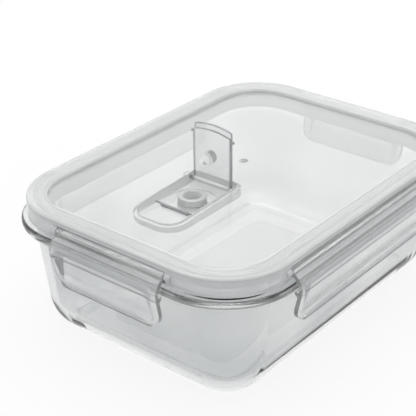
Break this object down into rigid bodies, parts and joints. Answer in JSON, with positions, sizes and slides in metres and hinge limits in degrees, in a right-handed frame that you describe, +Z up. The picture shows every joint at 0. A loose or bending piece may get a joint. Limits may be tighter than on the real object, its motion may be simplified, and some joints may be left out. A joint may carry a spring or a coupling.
{
  "type": "glass lunch box",
  "caption": "Rectangular glass lunch box with a clear press-down lid, hinged latches on every side, a silicone seal and a hinged vent flap over a silicone plug",
  "frame": {"origin": "on the surface that the box stands on, under the middle of the box", "axes": "+X along the long side, with the vent at the -X end; +Y along the short side; +Z up"},
  "size_m": [0.2146, 0.1622, 0.1066],
  "materials": {
    "clear_glass": "clear pressed glass, polished, with a faint grey-green tint at its edges",
    "lid_plastic": "clear stiff plastic, glossy, with a fine satin haze on the panel",
    "latch_plastic": "clear tough plastic, glossy",
    "silicone": "translucent milky silicone, satin"
  },
  "bodies": {
    "container": {"glass_container": "clear_glass"},
    "lid_body": {"lid": "lid_plastic", "lid_gasket": "silicone", "vent_plug": "silicone"},
    "front_latch": {"latch_front": "latch_plastic"},
    "back_latch": {"latch_back": "latch_plastic"},
    "left_latch": {"latch_left": "latch_plastic"},
    "right_latch": {"latch_right": "latch_plastic"},
    "flap": {"vent_flap": "latch_plastic"}
  },
  "joints": [
    {"name": "lid_lift", "type": "slide", "parent": "container", "child": "lid_body", "axis": [0, 0, 1], "range_m": [0, 0.16]},
    {"name": "front_latch_hinge", "type": "hinge", "parent": "lid_body", "child": "front_latch", "pos_m": [0, -0.07435, 0.0696], "axis": [-1, 0, 0], "range_deg": [0, 90]},
    {"name": "back_latch_hinge", "type": "hinge", "parent": "lid_body", "child": "back_latch", "pos_m": [0, 0.07435, 0.0696], "axis": [1, 0, 0], "range_deg": [0, 90]},
    {"name": "left_latch_hinge", "type": "hinge", "parent": "lid_body", "child": "left_latch", "pos_m": [-0.10055, 0, 0.0696], "axis": [0, 1, 0], "range_deg": [0, 90]},
    {"name": "right_latch_hinge", "type": "hinge", "parent": "lid_body", "child": "right_latch", "pos_m": [0.10055, 0, 0.0696], "axis": [0, -1, 0], "range_deg": [0, 90]},
    {"name": "flap_hinge", "type": "hinge", "parent": "lid_body", "child": "flap", "pos_m": [-0.0263, 0, 0.0752], "axis": [0, 1, 0], "range_deg": [-90, 0]}
  ]
}
